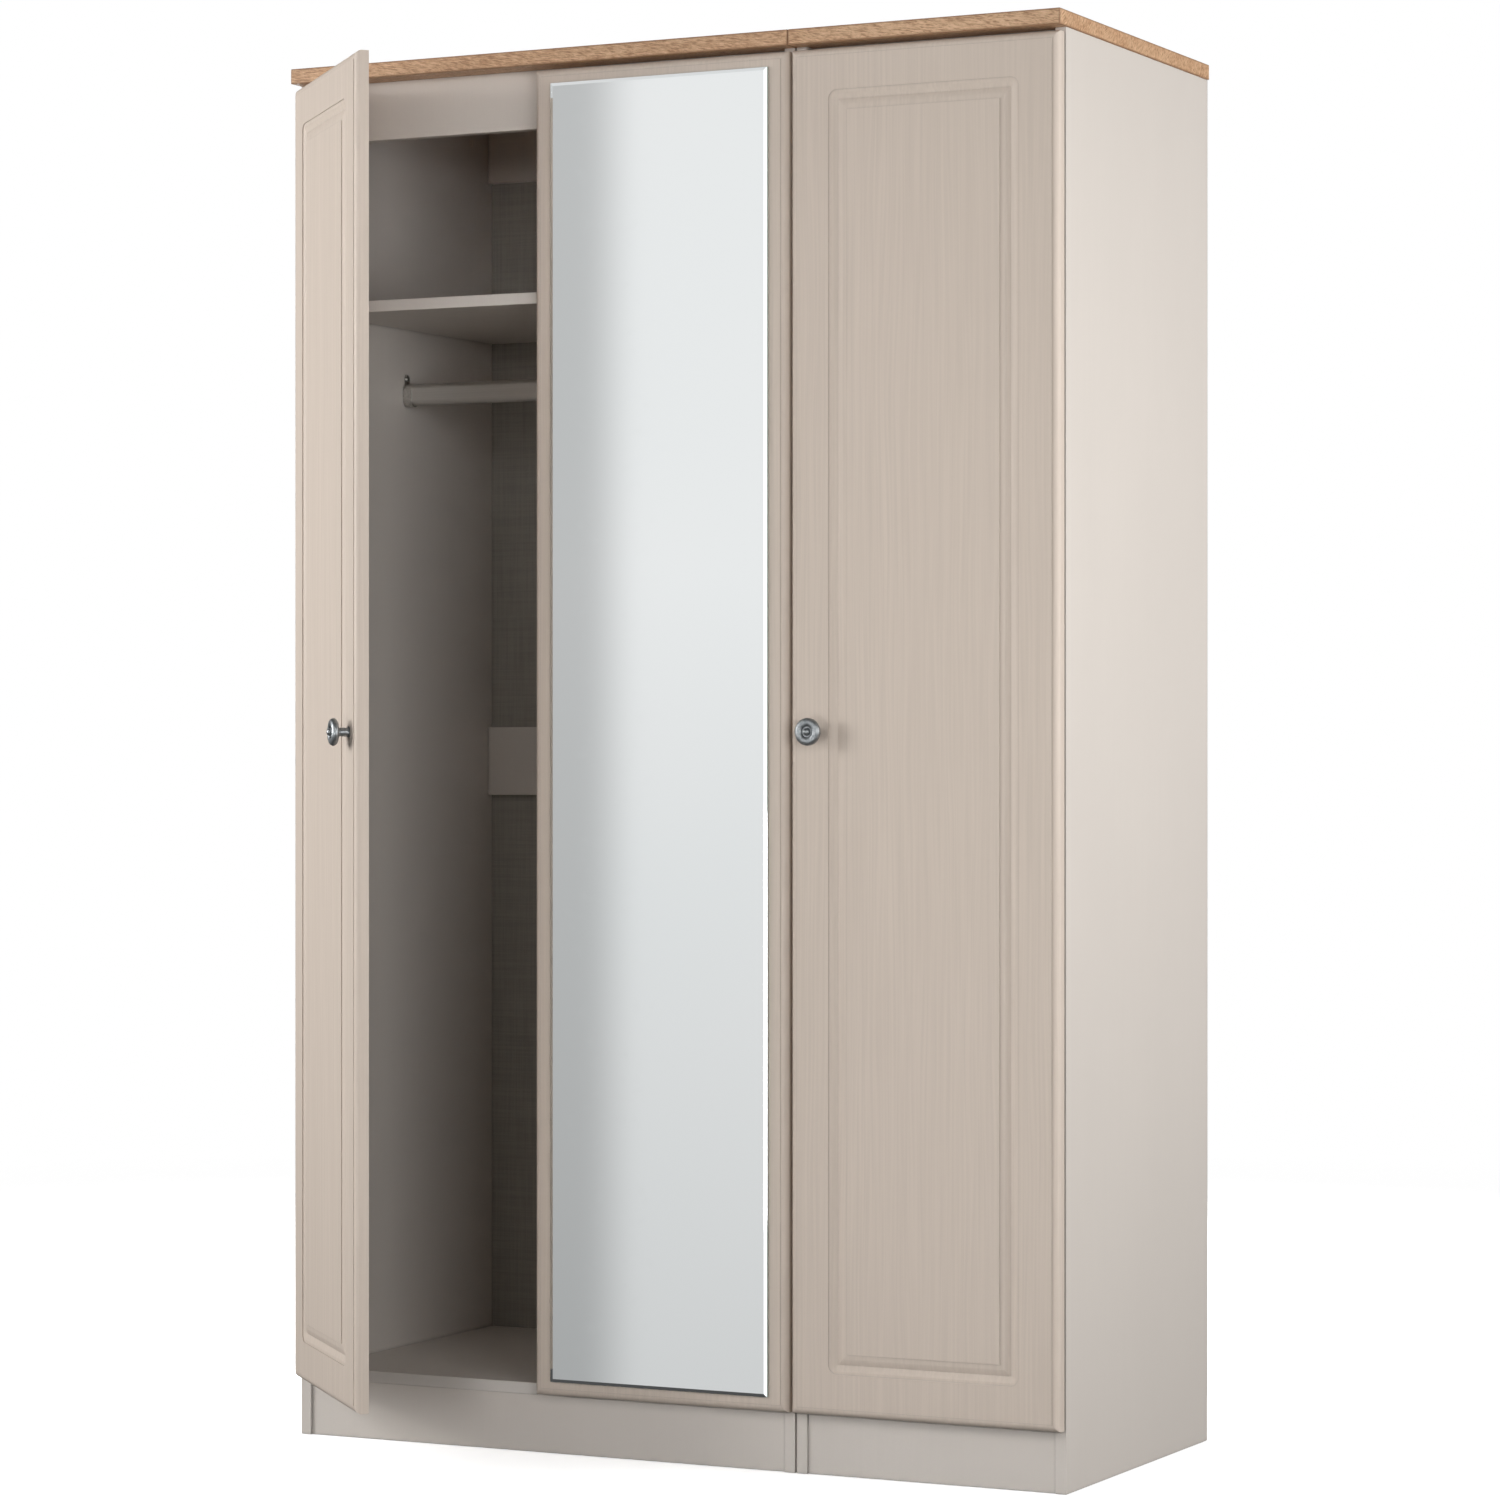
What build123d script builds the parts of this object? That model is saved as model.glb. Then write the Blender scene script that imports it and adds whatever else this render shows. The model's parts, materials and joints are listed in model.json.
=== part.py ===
from build123d import *
import os

# Three-door wardrobe: a double and a single carcass side by side under oak-look top boards.
# Millimetres, +Z up, doors towards -Y.  The pieces are drawn with y = 0 in the plane of the
# side panels' front edges, and exported with the origin under the middle of the front plinth's
# thickness, at mid-width.  The left door is modelled part open, the other two closed.

# ---------------------------------------------------------------- driving dimensions
TOTAL_HEIGHT = 1825.0
CARCASS_DEPTH = 487.0
DOUBLE_WIDTH = 736.0
SINGLE_WIDTH = 369.0
UNIT_GAP = 2.0
BOARD = 15.0                 # thickness of sides, base, shelf, plinths and front rail
TOP_BOARD = 20.0
TOP_SIDE_OVERHANG = 1.5
TOP_FRONT_OVERHANG = 24.0
BACK_THICKNESS = 3.0
EDGE_ROUND = 0.8             # softened edge of a laminated board

PLINTH_HEIGHT = 75.0
PLINTH_SETBACK = 3.5
RAIL_HEIGHT = 77.0
RAIL_SETBACK = 16.0
REAR_RAIL = 12.0             # thickness of the rails against the back
MID_RAIL_HEIGHT = 97.0
MID_RAIL_BOTTOM = 852.0
SHELF_BOTTOM = 1499.0
SHELF_SETBACK = 8.0

HANG_TUBE_HEIGHT = 30.0
HANG_TUBE_DEPTH = 15.0
HANG_TUBE_WALL = 1.2
HANG_Y = 248.0
HANG_Z = 1408.5

DOOR_THICKNESS = 18.0
DOOR_GAP = 3.0               # between a closed door's back and the side panels
DOOR_INSET = 1.5             # a closed door's side edge, in from the carcass's outer face
DOOR_MEETING_GAP = 3.0       # between the double carcass's two doors
DOOR_BOTTOM = 78.5
DOOR_HEIGHT = 1720.0
LEFT_DOOR_OPEN = 45.5        # degrees that the left door stands open as modelled

DOOR_EDGE_WIDTH = 9.4        # a door's rounded edge: width, step and depth
DOOR_EDGE_STEP = 0.9
DOOR_EDGE_DEPTH = 6.9
GROOVE_INSET = 65.0          # door edge to the deepest line of the framed groove
GROOVE_OUTER = 12.0          # the groove's width outside and inside its deepest line
GROOVE_INNER = 14.0
GROOVE_DEPTH = 4.2
GROOVE_OUTER_STEP = 1.2
GROOVE_INNER_STEP = 1.1
MIRROR_SIDE_MARGIN = 26.0
MIRROR_END_MARGIN = 19.0
MIRROR_THICKNESS = 4.0
MIRROR_BEVEL = 4.0
MIRROR_BEVEL_DROP = 0.8
MIRROR_PAD = 0.8

KNOB_INSET = 34.0            # knob axis to the door's free edge
KNOB_RADIUS = 17.5
KNOB_LENGTH = 29.0

HINGE_END_DISTANCE = 110.0   # door end to the outer hinges' centre
PIN_INSET = 7.0              # hinge pin axis to the door's edge
PIN_DEPTH = 8.0              # hinge pin axis to the door's back face
PIN_RADIUS = 1.25
RUNNING_CLEARANCE = 0.08
FIT_CLEARANCE = 0.05         # a fixed fastener in its hole

# ---------------------------------------------------------------- derived positions
CARCASS_HEIGHT = TOTAL_HEIGHT - TOP_BOARD
OVERALL_WIDTH = DOUBLE_WIDTH + UNIT_GAP + SINGLE_WIDTH
DOUBLE_LEFT = -OVERALL_WIDTH / 2
DOUBLE_RIGHT = DOUBLE_LEFT + DOUBLE_WIDTH
SINGLE_LEFT = DOUBLE_RIGHT + UNIT_GAP
SINGLE_RIGHT = OVERALL_WIDTH / 2
TOP_JOINT = (DOUBLE_RIGHT + SINGLE_LEFT) / 2
BASE_TOP = PLINTH_HEIGHT + BOARD
DOOR_FRONT = -DOOR_GAP - DOOR_THICKNESS
DOOR_TOP = DOOR_BOTTOM + DOOR_HEIGHT
DOOR_MIDDLE = DOOR_BOTTOM + DOOR_HEIGHT / 2
DOUBLE_DOOR_WIDTH = (DOUBLE_WIDTH - 2 * DOOR_INSET - DOOR_MEETING_GAP) / 2
SINGLE_DOOR_WIDTH = SINGLE_WIDTH - 2 * DOOR_INSET
UNITS = {"double": (DOUBLE_LEFT, DOUBLE_RIGHT), "single": (SINGLE_LEFT, SINGLE_RIGHT)}

X, Y, Z = Vector(1, 0, 0), Vector(0, 1, 0), Vector(0, 0, 1)
parts = {}                   # node name -> solid or list of solids
cuts = {}                    # node name -> solids to take out of it


# ---------------------------------------------------------------- general helpers
def block(x0, x1, y0, y1, z0, z1):
    """A plain box between six faces."""
    centre = Pos((x0 + x1) / 2, (y0 + y1) / 2, (z0 + z1) / 2)
    return centre * Box(x1 - x0, y1 - y0, z1 - z0)


def panel(x0, x1, y0, y1, z0, z1, edge=EDGE_ROUND):
    """A laminated board: a box with softened edges."""
    plain = block(x0, x1, y0, y1, z0, z1)
    return fillet(plain.edges(), edge)


def rod(start, along, radius, length):
    """A cylinder that starts at a point and runs along a direction."""
    return Plane(origin=start, z_dir=along) * Pos(0, 0, length / 2) * Cylinder(radius, length)


def cut(node, *tools):
    cuts.setdefault(node, []).extend(tools)


def add(node, *solids):
    parts.setdefault(node, []).extend(solids)


# ---------------------------------------------------------------- fasteners
DOWEL_RADIUS = 3.0
DOWEL_IN_END = 20.0          # length in the joining board's end
DOWEL_IN_FACE = 10.0         # length in the face it meets
CAM_RADIUS = 7.4
CAM_DEPTH = 12.0
CAM_REACH = 24.0             # board's end to the cam's centre


def dowel(point, into, board, neighbour):
    """A wooden dowel at a board's end, half in the neighbouring board's face."""
    end_slack = 0.5
    start = point - into * DOWEL_IN_FACE
    add("dowels", rod(start, into, DOWEL_RADIUS, DOWEL_IN_FACE + DOWEL_IN_END))
    hole = DOWEL_RADIUS + FIT_CLEARANCE
    cut(board, rod(point - into, into, hole, DOWEL_IN_END + end_slack + 1))
    cut(neighbour, rod(point + into, -into, hole, DOWEL_IN_FACE + end_slack + 1))


def cam_joint(point, into, face, board, neighbour):
    """A cam lock let into a board's face, with the bolt that it pulls on."""
    thread_radius, thread_length = 2.5, 9.5
    shank_radius, head_radius, head_length = 3.0, 3.5, 3.0
    bore_radius, bore_length = 4.0, CAM_REACH + 4.5
    thread = rod(point - into * thread_length, into, thread_radius, thread_length)
    shank = rod(point, into, shank_radius, CAM_REACH)
    head = rod(point + into * (CAM_REACH - head_length / 2), into, head_radius, head_length)
    add("cam_bolts", thread + shank + head)
    centre = point + into * CAM_REACH
    top = centre + face * (BOARD / 2 - 0.3)
    slot = Plane(origin=top, x_dir=into, z_dir=face) * Box(9, 1.6, 3)
    bore = rod(point - into, into, bore_radius, bore_length + 1)
    add("cam_locks", rod(top, -face, CAM_RADIUS, CAM_DEPTH) - bore - slot)
    pocket = rod(centre + face * BOARD / 2 + face, -face, CAM_RADIUS + FIT_CLEARANCE, CAM_DEPTH + 1.5)
    cut(board, bore, pocket)
    thread_hole = thread_radius + FIT_CLEARANCE
    cut(neighbour, rod(point + into, -into, thread_hole, thread_length + 1.5))


def wood_screw(node, head_at, along, length, holes, head_radius=3.5):
    """A raised-head screw: its shank passes through or into every node in holes."""
    shank_radius, head_height = 1.75, 1.8
    head = rod(head_at, -along, head_radius, head_height)
    head = fillet(head.faces().sort_by(Axis(head_at, along))[0].edges(), 0.9)
    add(node, head + rod(head_at, along, shank_radius, length))
    for target in holes:
        cut(target, rod(head_at - along * 0.5, along, shank_radius + FIT_CLEARANCE, length + 1))


# ---------------------------------------------------------------- carcasses
def carcass(name, x_left, x_right):
    """Sides, base, plinths, rails, shelf, back and top board of one unit."""
    inner_left, inner_right = x_left + BOARD, x_right - BOARD
    rear = CARCASS_DEPTH
    rail_bottom = CARCASS_HEIGHT - RAIL_HEIGHT
    boards = {
        "left_side": (x_left, inner_left, 0, rear, 0, CARCASS_HEIGHT),
        "right_side": (inner_right, x_right, 0, rear, 0, CARCASS_HEIGHT),
        "base": (inner_left, inner_right, PLINTH_SETBACK, rear, PLINTH_HEIGHT, BASE_TOP),
        "front_plinth": (inner_left, inner_right, PLINTH_SETBACK, PLINTH_SETBACK + BOARD,
                         0, PLINTH_HEIGHT),
        "rear_plinth": (inner_left, inner_right, rear - BOARD, rear, 0, PLINTH_HEIGHT),
        "front_rail": (inner_left, inner_right, RAIL_SETBACK, RAIL_SETBACK + BOARD,
                       rail_bottom, CARCASS_HEIGHT),
        "upper_back_rail": (inner_left, inner_right, rear - REAR_RAIL, rear,
                            rail_bottom, CARCASS_HEIGHT),
        "middle_back_rail": (inner_left, inner_right, rear - REAR_RAIL, rear,
                             MID_RAIL_BOTTOM, MID_RAIL_BOTTOM + MID_RAIL_HEIGHT),
        "shelf": (inner_left, inner_right, SHELF_SETBACK, rear, SHELF_BOTTOM, SHELF_BOTTOM + BOARD),
    }
    for piece, faces in boards.items():
        add(f"{name}_{piece}", panel(*faces))
    back_inset = 1.0
    add(f"{name}_back_panel", block(x_left + back_inset, x_right - back_inset, rear,
                                    rear + BACK_THICKNESS, PLINTH_HEIGHT - BOARD, CARCASS_HEIGHT))
    board_joints(name, inner_left, inner_right)
    back_nails(name, x_left, x_right)


def board_joints(name, inner_left, inner_right):
    """Dowels and cams at both ends of every board between the two sides."""
    rear = CARCASS_DEPTH
    base_mid, shelf_mid = PLINTH_HEIGHT + BOARD / 2, SHELF_BOTTOM + BOARD / 2
    rail_y = RAIL_SETBACK + BOARD / 2
    rear_y = rear - REAR_RAIL / 2
    rail_bottom = CARCASS_HEIGHT - RAIL_HEIGHT
    for x, into, side in ((inner_left, X, "left_side"), (inner_right, -X, "right_side")):
        neighbour = f"{name}_{side}"
        for y in (60.0, rear - 60.0):
            cam_joint(Vector(x, y, base_mid), into, -Z, f"{name}_base", neighbour)
            cam_joint(Vector(x, y, shelf_mid), into, Z, f"{name}_shelf", neighbour)
            side_middle = Vector(x - into.X * BOARD / 2, y, CARCASS_HEIGHT)
            cam_joint(side_middle, -Z, into, neighbour, f"{name}_top_board")
        for y in (110.0, rear - 110.0):
            dowel(Vector(x, y, base_mid), into, f"{name}_base", neighbour)
            dowel(Vector(x, y, shelf_mid), into, f"{name}_shelf", neighbour)
        for z in (20.0, PLINTH_HEIGHT - 20.0):
            plinth_y = PLINTH_SETBACK + BOARD / 2
            dowel(Vector(x, plinth_y, z), into, f"{name}_front_plinth", neighbour)
            dowel(Vector(x, rear - BOARD / 2, z), into, f"{name}_rear_plinth", neighbour)
        cam_joint(Vector(x, rail_y, rail_bottom + RAIL_HEIGHT / 2), into, Y,
                  f"{name}_front_rail", neighbour)
        dowel(Vector(x, rail_y, rail_bottom + 15), into, f"{name}_front_rail", neighbour)
        for z in (rail_bottom + 15, CARCASS_HEIGHT - 15):
            dowel(Vector(x, rear_y, z), into, f"{name}_upper_back_rail", neighbour)
        for z in (MID_RAIL_BOTTOM + 20, MID_RAIL_BOTTOM + MID_RAIL_HEIGHT - 20):
            dowel(Vector(x, rear_y, z), into, f"{name}_middle_back_rail", neighbour)


def top_board(name, x0, x1):
    """Oak-look top with crisp edges, hanging over the doors."""
    y0, y1 = -TOP_FRONT_OVERHANG, CARCASS_DEPTH + BACK_THICKNESS
    add(f"{name}_top_board", panel(x0, x1, y0, y1, CARCASS_HEIGHT, TOTAL_HEIGHT, edge=1.2))


def nail(x, z, targets):
    """A flat-head nail driven forward through the back panel."""
    head_radius, head_height, shank_radius, length = 2.2, 0.6, 0.8, 15.0
    at = Vector(x, CARCASS_DEPTH + BACK_THICKNESS, z)
    add("back_nails", rod(at, Y, head_radius, head_height) + rod(at, -Y, shank_radius, length))
    for target in targets:
        cut(target, rod(at + Y, -Y, shank_radius + FIT_CLEARANCE, length + 1.5))


def back_nails(name, x_left, x_right):
    """Nails round the edge of the back panel, and one row in each board that it crosses."""
    rows = 10
    low, high = PLINTH_HEIGHT + 35.0, CARCASS_HEIGHT - 40.0
    back = f"{name}_back_panel"
    for i in range(rows):
        z = low + (high - low) * i / (rows - 1)
        nail(x_left + BOARD / 2, z, (back, f"{name}_left_side"))
        nail(x_right - BOARD / 2, z, (back, f"{name}_right_side"))
    columns = 4 if x_right - x_left > 500 else 2
    crossed = (("base", PLINTH_HEIGHT + BOARD / 2), ("shelf", SHELF_BOTTOM + BOARD / 2),
               ("middle_back_rail", MID_RAIL_BOTTOM + MID_RAIL_HEIGHT / 2),
               ("upper_back_rail", CARCASS_HEIGHT - RAIL_HEIGHT / 2))
    for i in range(columns):
        x = x_left + (x_right - x_left) * (i + 1) / (columns + 1)
        for piece, z in crossed:
            nail(x, z, (back, f"{name}_{piece}"))


def unit_connectors():
    """Bolts with sleeve nuts that draw the two carcasses together."""
    shank_radius, sleeve_radius, cap_radius, cap_height = 2.0, 3.5, 7.5, 2.0
    left_face = DOUBLE_RIGHT - BOARD
    right_face = SINGLE_LEFT + BOARD
    span = right_face - left_face
    bolt_length = span - 5.0
    sleeve_length = span - 8.0
    for y in (90.0, CARCASS_DEPTH - 90.0):
        for z in (300.0, 1300.0):
            left, right = Vector(left_face, y, z), Vector(right_face, y, z)
            add("connector_bolts", rod(left, -X, cap_radius, cap_height) + rod(left, X, shank_radius,
                                                                               bolt_length))
            sleeve = rod(right, X, cap_radius, cap_height) + rod(right, -X, sleeve_radius, sleeve_length)
            sleeve -= rod(left, X, shank_radius + FIT_CLEARANCE, bolt_length + 1)
            add("connector_sleeves", sleeve)
            hole = rod(left - X, X, sleeve_radius + FIT_CLEARANCE, span + 2)
            cut("double_right_side", hole)
            cut("single_left_side", hole)


# ---------------------------------------------------------------- hanging rails
def oval(height, depth):
    """The rail's section: flat sides with round top and bottom, drawn across the rail."""
    return SlotOverall(height, depth, rotation=90)


def hanging_rail(name, inner_left, inner_right):
    """An oval tube between two end brackets, each with a cup, a lug, a peg and a screw."""
    plate, cup_length, cup_wall, slack = 1.5, 12.0, 1.6, 0.4
    across = Plane(origin=(0, HANG_Y, HANG_Z), x_dir=(0, 1, 0), z_dir=(1, 0, 0))
    x0, x1 = inner_left + plate + slack, inner_right - plate - slack
    section = oval(HANG_TUBE_HEIGHT, HANG_TUBE_DEPTH)
    bore = oval(HANG_TUBE_HEIGHT - 2 * HANG_TUBE_WALL, HANG_TUBE_DEPTH - 2 * HANG_TUBE_WALL)
    add(f"{name}_hanging_rail", across * Pos(0, 0, x0) * extrude(section - bore, x1 - x0))
    lug_top, lug_width, screw_z = HANG_TUBE_HEIGHT / 2 + 13.0, 12.0, HANG_TUBE_HEIGHT / 2 + 7.0
    inner_size = (HANG_TUBE_HEIGHT + 0.6, HANG_TUBE_DEPTH + 0.6)
    outer_size = (inner_size[0] + 2 * cup_wall, inner_size[1] + 2 * cup_wall)
    for x, inward, side in ((inner_left, 1, "left_side"), (inner_right, -1, "right_side")):
        face = Plane(origin=(x, HANG_Y, HANG_Z), x_dir=(0, inward, 0), z_dir=(inward, 0, 0))
        lug = Pos(0, lug_top / 2) * RectangleRounded(lug_width, lug_top, 5.0)
        base = extrude(oval(*outer_size) + lug, plate)
        cup = Pos(0, 0, plate) * extrude(oval(*outer_size) - oval(*inner_size), cup_length)
        open_top = Pos(0, HANG_TUBE_HEIGHT / 2 + 2, plate + cup_length / 2 + 0.01)
        cup -= open_top * Box(40, 16.0, cup_length)
        peg_radius, peg_length = 2.5, 9.0
        peg = Pos(0, 0, -peg_length / 2) * Cylinder(peg_radius, peg_length)
        add(f"{name}_rail_brackets", face * (base + cup + peg))
        cut(f"{name}_{side}", rod(Vector(x + inward, HANG_Y, HANG_Z), X * -inward,
                                  peg_radius + FIT_CLEARANCE, peg_length + 1.5))
        screw_at = Vector(x + inward * plate, HANG_Y, HANG_Z + screw_z)
        wood_screw("bracket_screws", screw_at, X * -inward, 12.0,
                   (f"{name}_rail_brackets", f"{name}_{side}"))


# ---------------------------------------------------------------- doors
def side_frames(width, height):
    """For each side of a door: its start, inward and along directions, and its length."""
    return ((Vector(0, 0, 0), X, Z, height), (Vector(width, 0, height), -X, -Z, height),
            (Vector(width, 0, 0), Z, -X, width), (Vector(0, 0, height), -Z, X, width))


def edge_profile():
    """Waste outside the door's rounded edge: a small step, then a broad ovolo."""
    width, step, depth, spare = DOOR_EDGE_WIDTH, DOOR_EDGE_STEP, DOOR_EDGE_DEPTH, 2
    lines = Polyline((0, depth), (-spare, depth), (-spare, -spare), (width, -spare), (width, step))
    belly = (0.29 * width, 0.38 * depth)
    lines += ThreePointArc((width, step), belly, (0, depth))
    return make_face(lines)


def groove_cove():
    """The groove's outer half, as lines: a step, then a cove down to its deepest line."""
    shoulder = (-8.0, 1.5)
    belly = (-4.0, 3.05)
    lines = Polyline((-GROOVE_OUTER, 0), (-GROOVE_OUTER, GROOVE_OUTER_STEP), shoulder)
    return lines + ThreePointArc(shoulder, belly, (0, GROOVE_DEPTH))


def groove_profile():
    """Waste of the framed groove: a step and a cove outside, a ramp and a step inside."""
    spare = 2
    belly = (3.5, 2.7)
    shoulder = (7.5, 1.7)
    lines = groove_cove() + ThreePointArc((0, GROOVE_DEPTH), belly, shoulder)
    lines += Polyline(shoulder, (GROOVE_INNER, GROOVE_INNER_STEP), (GROOVE_INNER, -spare),
                      (-GROOVE_OUTER, -spare), (-GROOVE_OUTER, 0))
    return make_face(lines)


def groove_corner():
    """Waste of the groove's outer half where it turns a corner about its deepest line."""
    spare = 2
    lines = groove_cove() + Polyline((0, GROOVE_DEPTH), (0, -spare), (-GROOVE_OUTER, -spare),
                                     (-GROOVE_OUTER, 0))
    return revolve(make_face(lines), Axis.Y, 360)


def door_slab(width, grooved):
    """A closed door at the frame's origin, front face in the XZ plane, back towards +Y."""
    slab = Pos(width / 2, DOOR_THICKNESS / 2, DOOR_HEIGHT / 2) * Box(width, DOOR_THICKNESS, DOOR_HEIGHT)
    for start, inward, along, length in side_frames(width, DOOR_HEIGHT):
        frame = Plane(origin=start - along * 2, x_dir=inward, z_dir=along)
        slab -= frame * extrude(edge_profile(), length + 4)
    if grooved:
        disc, reach = groove_corner(), 2 * GROOVE_OUTER
        for start, inward, along, length in side_frames(width, DOOR_HEIGHT):
            corner = start + (inward + along) * GROOVE_INSET
            frame = Plane(origin=corner, x_dir=inward, z_dir=along)
            slab -= frame * extrude(groove_profile(), length - 2 * GROOVE_INSET)
            quadrant = corner - (inward + along) * reach / 2
            slab -= Pos(*corner) * disc & Pos(*quadrant) * Box(reach, reach, reach)
    return slab


def mirror_glass(width):
    """Plate mirror with a narrow bevel, in the closed door's own frame."""
    glass_width = width - 2 * MIRROR_SIDE_MARGIN
    glass_height = DOOR_HEIGHT - 2 * MIRROR_END_MARGIN
    back = -MIRROR_PAD
    centre = Pos(width / 2, back - MIRROR_THICKNESS / 2, DOOR_HEIGHT / 2)
    glass = centre * Box(glass_width, MIRROR_THICKNESS, glass_height)
    front = glass.faces().sort_by(Axis.Y)[0]
    return chamfer(front.edges(), MIRROR_BEVEL, MIRROR_BEVEL_DROP, reference=front)


def mirror_pads(width):
    """Strips of adhesive foam behind the mirror."""
    strip_width, strips = 24.0, 6
    x0, x1 = MIRROR_SIDE_MARGIN + 30, width - MIRROR_SIDE_MARGIN - 30
    solids = []
    for i in range(strips):
        z = MIRROR_END_MARGIN + 60 + (DOOR_HEIGHT - 2 * MIRROR_END_MARGIN - 120) * i / (strips - 1)
        solids.append(block(x0, x1, -MIRROR_PAD, 0, z - strip_width / 2, z + strip_width / 2))
    return solids


def knob():
    """A turned knob standing along -Y: foot, stem, dished rim and centre button."""
    rim, length = KNOB_RADIUS, KNOB_LENGTH
    button_radius, button_start = 4.6, 17.0
    outline = Polyline((0, 0), (7.2, 0), (7.2, 1.0))
    outline += ThreePointArc((7.2, 1.0), (6.2, 1.8), (5.8, 3.2))
    outline += Line((5.8, 3.2), (5.6, 14.0))
    outline += ThreePointArc((5.6, 14.0), (7.2, 15.6), (10.5, 16.0))
    outline += ThreePointArc((10.5, 16.0), (rim, 20.4), (14.0, 25.0))
    outline += ThreePointArc((14.0, 25.0), (11.0, 25.4), (7.9, 24.2))
    button = CenterArc((0, length - button_radius), button_radius, button_start, 90 - button_start)
    outline += Polyline((7.9, 24.2), (6.9, 22.6), (5.0, 22.6), button @ 0)
    outline += button
    outline += Line((0, length), (0, 0))
    return Rot(180, 0, 0) * revolve(make_face(outline), Axis.Y, 360)


# ---------------------------------------------------------------- hinges
# Drawn for a left-hung door in its closed position.  Here x runs inward from the carcass's
# outer side face, y = 0 is the plane of the side panels' front edges, z = 0 the hinge's centre.
PIN_X = DOOR_INSET + PIN_INSET
PIN_Y = -DOOR_GAP - PIN_DEPTH
CUP_RADIUS = 17.5
CUP_X = DOOR_INSET + 3.0 + CUP_RADIUS
CUP_DEPTH = 12.0
CUP_WALL = 1.2
NOSE_HEIGHT = 16.4           # the squared pocket that carries the pin
NOSE_X = DOOR_INSET + 3.0
FLANGE = 1.2
ARM_HEIGHT = 11.0
ARM_THICKNESS = 2.2
ARM_X = 19.2                 # inner strip of the arm, clear of the door's back edge
PLATE_THICKNESS = 3.0
PLATE_SCREW_Y = 37.0


def cup_outline(grow):
    """Round cup with a squared nose towards the door's edge, in plan on the door's back."""
    nose_end = NOSE_X - grow
    nose = Pos((nose_end + CUP_X) / 2, 0) * Rectangle(CUP_X - nose_end, NOSE_HEIGHT + 2 * grow)
    return Pos(CUP_X, 0) * Circle(CUP_RADIUS + grow) + nose


def cup_block(grow, y_back, depth):
    """The cup outline as a solid that goes forward into the door from y_back."""
    door_back = Plane(origin=(0, y_back, 0), x_dir=(1, 0, 0), z_dir=(0, -1, 0))
    return door_back * extrude(cup_outline(grow), depth)


def hinge_cup():
    """Cup, flange and pin walls.  It moves with the door."""
    wing_height, wing_width = 52.0, 20.0
    back = -DOOR_GAP
    wing_centre = Pos(CUP_X, back + FLANGE / 2, 0)
    wing = wing_centre * Box(wing_width, FLANGE, wing_height)
    wing = fillet(wing.edges().filter_by(Axis.Y), 4.0)
    body = cup_block(0, back, CUP_DEPTH) + wing
    body -= cup_block(-CUP_WALL, back + FLANGE + 1, CUP_DEPTH + FLANGE - CUP_WALL + 1)
    pin_hole = rod(Vector(PIN_X, PIN_Y, -NOSE_HEIGHT / 2 + 0.4), Z, PIN_RADIUS + 0.02,
                   NOSE_HEIGHT - 0.8)
    return body - pin_hole


def hinge_pin():
    length = NOSE_HEIGHT - 1.0
    return rod(Vector(PIN_X, PIN_Y, -length / 2), Z, PIN_RADIUS, length)


def hinge_arm():
    """Gooseneck arm from the plate to the pin's eye.  It stays on the carcass."""
    eye_radius = 2.3
    outer = ARM_X + ARM_THICKNESS
    half = ARM_THICKNESS / 2
    eye = rod(Vector(PIN_X, PIN_Y, -ARM_HEIGHT / 2), Z, eye_radius, ARM_HEIGHT)
    reach = block(PIN_X, outer, PIN_Y - half, PIN_Y + half, -ARM_HEIGHT / 2, ARM_HEIGHT / 2)
    neck = block(ARM_X, outer, PIN_Y - half, 16, -ARM_HEIGHT / 2, ARM_HEIGHT / 2)
    corner = (reach + neck).edges().filter_by(Axis.Z).sort_by_distance((outer, PIN_Y - half, 0))[0]
    bent = fillet(corner, 1.8)
    channel = block(BOARD + PLATE_THICKNESS, outer, 14, 62, -8, 8)
    channel = fillet(channel.edges().filter_by(Axis.X), 2.0)
    arm = eye + bent + channel
    arm -= rod(Vector(PIN_X, PIN_Y, -ARM_HEIGHT), Z, PIN_RADIUS + RUNNING_CLEARANCE, 2 * ARM_HEIGHT)
    return arm


def hinge_plate():
    """Mounting plate screwed to the side panel's inner face."""
    wings = block(BOARD, BOARD + PLATE_THICKNESS, PLATE_SCREW_Y - 8, PLATE_SCREW_Y + 8, -26, 26)
    rail = block(BOARD, BOARD + PLATE_THICKNESS, 18, 60, -7, 7)
    wings = fillet(wings.edges().filter_by(Axis.X), 6.0)
    return wings + rail


def at_hinge(shape, x_outer, hand, z):
    """Move a hinge-frame shape to a carcass side; hand is +1 for left-hung, -1 for right-hung."""
    placed = shape if hand > 0 else shape.mirror(Plane.YZ)
    return Pos(x_outer, 0, z) * placed


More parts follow.
